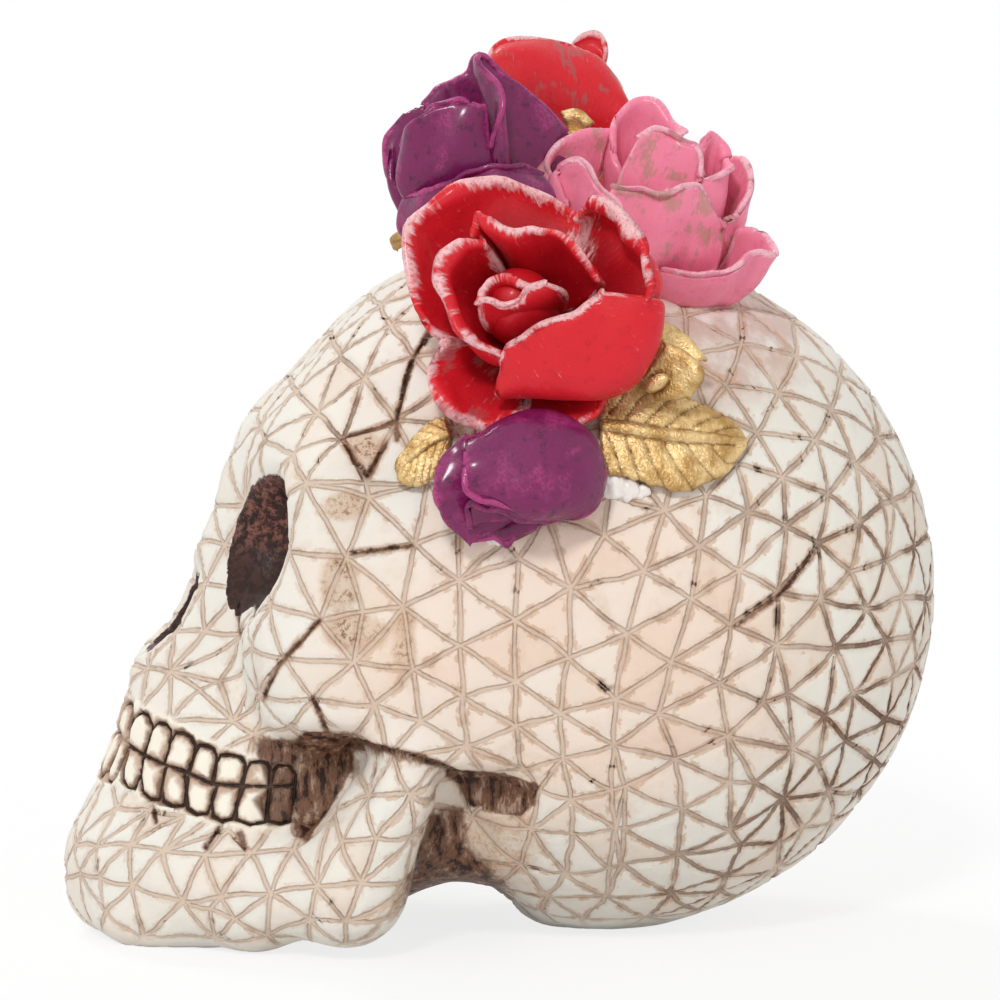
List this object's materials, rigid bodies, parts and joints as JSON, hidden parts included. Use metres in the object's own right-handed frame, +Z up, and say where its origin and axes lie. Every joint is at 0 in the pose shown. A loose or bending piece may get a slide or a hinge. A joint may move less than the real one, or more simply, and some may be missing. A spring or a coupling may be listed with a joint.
{
  "type": "sugar skull",
  "caption": "Painted resin sugar skull that stands on a table, its cranium carved with a triangle net and crowned with roses, a bud and gold leaves.",
  "frame": {"origin": "middle of the bounding box's bottom face, on the plane that the skull stands on", "axes": "+Z up, the face looks along -Y, and +X is the skull's own left side, where the flowers overhang"},
  "size_m": [0.1136, 0.1566, 0.1591],
  "materials": {
    "ivory_paint": "cast resin painted ivory with a brown wash in the grooves, satin",
    "bare_resin": "bare cast resin, matte",
    "red_paint": "red paint with dry-brushed pale rims, satin",
    "purple_paint": "plum paint with magenta rims, half gloss",
    "pink_paint": "pink paint with dusty brown patches, satin",
    "gold_paint": "antique gold paint with a brown wash, half gloss",
    "white_glue": "dried white adhesive, satin"
  },
  "bodies": {
    "root": {"skull_casting": "ivory_paint", "base_plug": "bare_resin", "rose_red_front": "red_paint", "rose_red_back": "red_paint", "rose_pink": "pink_paint", "rose_purple_top": "purple_paint", "bud_purple_side": "purple_paint", "leaf_curled_upper": "gold_paint", "leaf_curled_lower": "gold_paint", "leaf_between": "gold_paint", "leaf_far_side": "gold_paint", "leaf_large": "gold_paint", "leaf_left": "gold_paint", "glue_bed": "white_glue"}
  },
  "joints": []
}
